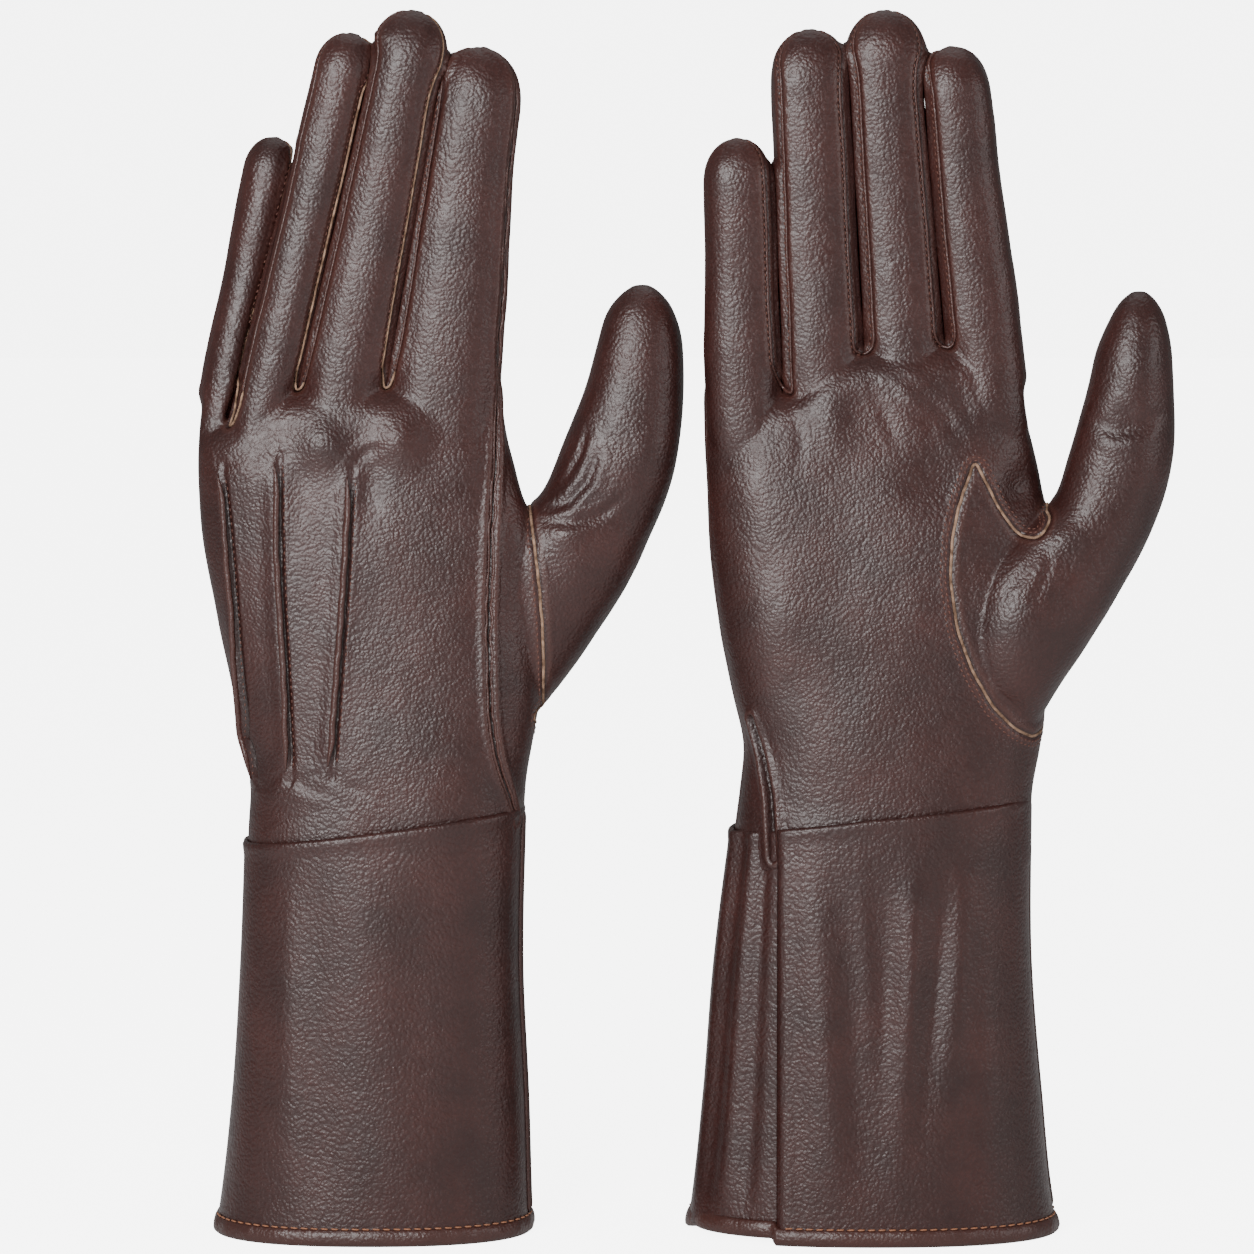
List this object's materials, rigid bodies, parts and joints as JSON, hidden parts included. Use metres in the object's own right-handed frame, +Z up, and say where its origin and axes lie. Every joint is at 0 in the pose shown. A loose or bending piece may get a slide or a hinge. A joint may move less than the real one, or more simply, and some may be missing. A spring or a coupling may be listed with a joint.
{
  "type": "pair of leather gloves",
  "caption": "Left and right gauntlet-length dress gloves in leather, hollow, fingers and thumbs that bend, standing upright on their cuff hems.",
  "frame": {"origin": "centre of the bounding box's underside, on the plane both hems stand on", "axes": "+Z up along the fingers, +Y away from the viewer, +X from the left-hand glove to the right-hand glove"},
  "size_m": [0.2712, 0.0586, 0.33],
  "materials": {
    "left_cuff_back": "smooth, low sheen",
    "left_cuff_gusset": "smooth, low sheen",
    "left_cuff_hem": "smooth, low sheen",
    "left_cuff_lining": "soft matt lining",
    "left_cuff_palm": "smooth, low sheen",
    "left_cuff_side_piping": "cut edge, sewn",
    "left_hand_back": "smooth, low sheen",
    "left_hand_palm": "smooth, low sheen",
    "left_index_back": "smooth, low sheen",
    "left_index_front": "smooth, low sheen",
    "left_index_strip_pinkyward": "smooth, low sheen",
    "left_middle_back": "smooth, low sheen",
    "left_middle_front": "smooth, low sheen",
    "left_middle_strip_pinkyward": "smooth, low sheen",
    "left_middle_strip_thumbward": "smooth, low sheen",
    "left_pinky_back": "smooth, low sheen",
    "left_pinky_front": "smooth, low sheen",
    "left_pinky_strip_thumbward": "smooth, low sheen",
    "left_point_1": "smooth, low sheen",
    "left_point_2": "smooth, low sheen",
    "left_point_3": "smooth, low sheen",
    "left_ring_back": "smooth, low sheen",
    "left_ring_front": "smooth, low sheen",
    "left_ring_strip_pinkyward": "smooth, low sheen",
    "left_ring_strip_thumbward": "smooth, low sheen",
    "left_side_piping": "cut edge, sewn",
    "left_thumb_base": "smooth, low sheen",
    "left_thumb_sheath": "smooth, low sheen",
    "left_ulnar_piping": "cut edge, sewn",
    "right_cuff_back": "smooth, low sheen",
    "right_cuff_gusset": "smooth, low sheen",
    "right_cuff_hem": "smooth, low sheen",
    "right_cuff_lining": "soft matt lining",
    "right_cuff_palm": "smooth, low sheen",
    "right_cuff_side_piping": "cut edge, sewn",
    "right_hand_back": "smooth, low sheen",
    "right_hand_palm": "smooth, low sheen",
    "right_index_back": "smooth, low sheen",
    "right_index_front": "smooth, low sheen",
    "right_index_strip_pinkyward": "smooth, low sheen",
    "right_middle_back": "smooth, low sheen",
    "right_middle_front": "smooth, low sheen",
    "right_middle_strip_pinkyward": "smooth, low sheen",
    "right_middle_strip_thumbward": "smooth, low sheen",
    "right_pinky_back": "smooth, low sheen",
    "right_pinky_front": "smooth, low sheen",
    "right_pinky_strip_thumbward": "smooth, low sheen",
    "right_point_1": "smooth, low sheen",
    "right_point_2": "smooth, low sheen",
    "right_point_3": "smooth, low sheen",
    "right_ring_back": "smooth, low sheen",
    "right_ring_front": "smooth, low sheen",
    "right_ring_strip_pinkyward": "smooth, low sheen",
    "right_ring_strip_thumbward": "smooth, low sheen",
    "right_side_piping": "cut edge, sewn",
    "right_thumb_base": "smooth, low sheen",
    "right_thumb_sheath": "smooth, low sheen",
    "right_ulnar_piping": "cut edge, sewn"
  },
  "bodies": {
    "left_hand": {"left_cuff_back": "left_cuff_back", "left_cuff_gusset": "left_cuff_gusset", "left_cuff_hem": "left_cuff_hem", "left_cuff_lining": "left_cuff_lining", "left_cuff_palm": "left_cuff_palm", "left_cuff_side_piping": "left_cuff_side_piping", "left_hand_back": "left_hand_back", "left_hand_palm": "left_hand_palm", "left_point_1": "left_point_1", "left_point_2": "left_point_2", "left_point_3": "left_point_3", "left_side_piping": "left_side_piping", "left_thumb_base": "left_thumb_base", "left_ulnar_piping": "left_ulnar_piping"},
    "left_pinky": {"left_pinky_back": "left_pinky_back", "left_pinky_front": "left_pinky_front", "left_pinky_strip_thumbward": "left_pinky_strip_thumbward"},
    "left_ring": {"left_ring_back": "left_ring_back", "left_ring_front": "left_ring_front", "left_ring_strip_pinkyward": "left_ring_strip_pinkyward", "left_ring_strip_thumbward": "left_ring_strip_thumbward"},
    "left_middle": {"left_middle_back": "left_middle_back", "left_middle_front": "left_middle_front", "left_middle_strip_pinkyward": "left_middle_strip_pinkyward", "left_middle_strip_thumbward": "left_middle_strip_thumbward"},
    "left_index": {"left_index_back": "left_index_back", "left_index_front": "left_index_front", "left_index_strip_pinkyward": "left_index_strip_pinkyward"},
    "left_thumb": {"left_thumb_sheath": "left_thumb_sheath"},
    "right_hand": {"right_cuff_back": "right_cuff_back", "right_cuff_gusset": "right_cuff_gusset", "right_cuff_hem": "right_cuff_hem", "right_cuff_lining": "right_cuff_lining", "right_cuff_palm": "right_cuff_palm", "right_cuff_side_piping": "right_cuff_side_piping", "right_hand_back": "right_hand_back", "right_hand_palm": "right_hand_palm", "right_point_1": "right_point_1", "right_point_2": "right_point_2", "right_point_3": "right_point_3", "right_side_piping": "right_side_piping", "right_thumb_base": "right_thumb_base", "right_ulnar_piping": "right_ulnar_piping"},
    "right_pinky": {"right_pinky_back": "right_pinky_back", "right_pinky_front": "right_pinky_front", "right_pinky_strip_thumbward": "right_pinky_strip_thumbward"},
    "right_ring": {"right_ring_back": "right_ring_back", "right_ring_front": "right_ring_front", "right_ring_strip_pinkyward": "right_ring_strip_pinkyward", "right_ring_strip_thumbward": "right_ring_strip_thumbward"},
    "right_middle": {"right_middle_back": "right_middle_back", "right_middle_front": "right_middle_front", "right_middle_strip_pinkyward": "right_middle_strip_pinkyward", "right_middle_strip_thumbward": "right_middle_strip_thumbward"},
    "right_index": {"right_index_back": "right_index_back", "right_index_front": "right_index_front", "right_index_strip_pinkyward": "right_index_strip_pinkyward"},
    "right_thumb": {"right_thumb_sheath": "right_thumb_sheath"}
  },
  "joints": [
    {"name": "left_pinky_bend", "type": "hinge", "parent": "left_hand", "child": "left_pinky", "pos_m": [-0.124, 0.009, 0.23288], "axis": [-0.9885, 0, 0.151], "range_deg": [0, 70]},
    {"name": "left_ring_bend", "type": "hinge", "parent": "left_hand", "child": "left_ring", "pos_m": [-0.1097, 0.009, 0.23474], "axis": [-0.9862, 0, 0.1657], "range_deg": [0, 70]},
    {"name": "left_middle_bend", "type": "hinge", "parent": "left_hand", "child": "left_middle", "pos_m": [-0.0911, 0.009, 0.23716], "axis": [-0.9886, 0, 0.1505], "range_deg": [0, 70]},
    {"name": "left_index_bend", "type": "hinge", "parent": "left_hand", "child": "left_index", "pos_m": [-0.0661, 0.009, 0.24041], "axis": [-0.9948, 0, 0.1014], "range_deg": [0, 70]},
    {"name": "left_thumb_bend", "type": "hinge", "parent": "left_hand", "child": "left_thumb", "pos_m": [-0.02335, 0.0145, 0.1935], "axis": [-0.9306, 0, 0.3661], "range_deg": [0, 50]},
    {"name": "right_pinky_bend", "type": "hinge", "parent": "right_hand", "child": "right_pinky", "pos_m": [0.0153, -0.009, 0.23618], "axis": [0.9992, 0, 0.0397], "range_deg": [0, 70]},
    {"name": "right_ring_bend", "type": "hinge", "parent": "right_hand", "child": "right_ring", "pos_m": [0.0375, -0.009, 0.23907], "axis": [0.9991, 0, 0.043], "range_deg": [0, 70]},
    {"name": "right_middle_bend", "type": "hinge", "parent": "right_hand", "child": "right_middle", "pos_m": [0.0589, -0.009, 0.24185], "axis": [0.9986, 0, 0.0526], "range_deg": [0, 70]},
    {"name": "right_index_bend", "type": "hinge", "parent": "right_hand", "child": "right_index", "pos_m": [0.0799, -0.009, 0.24458], "axis": [0.9964, 0, 0.0844], "range_deg": [0, 70]},
    {"name": "right_thumb_bend", "type": "hinge", "parent": "right_hand", "child": "right_thumb", "pos_m": [0.11365, -0.0145, 0.1935], "axis": [0.9306, 0, -0.3661], "range_deg": [0, 50]},
    {"name": "right_glove_lift", "type": "slide", "parent": "left_hand", "child": "right_hand", "axis": [1, 0, 0], "range_m": [0, 0.12]}
  ]
}
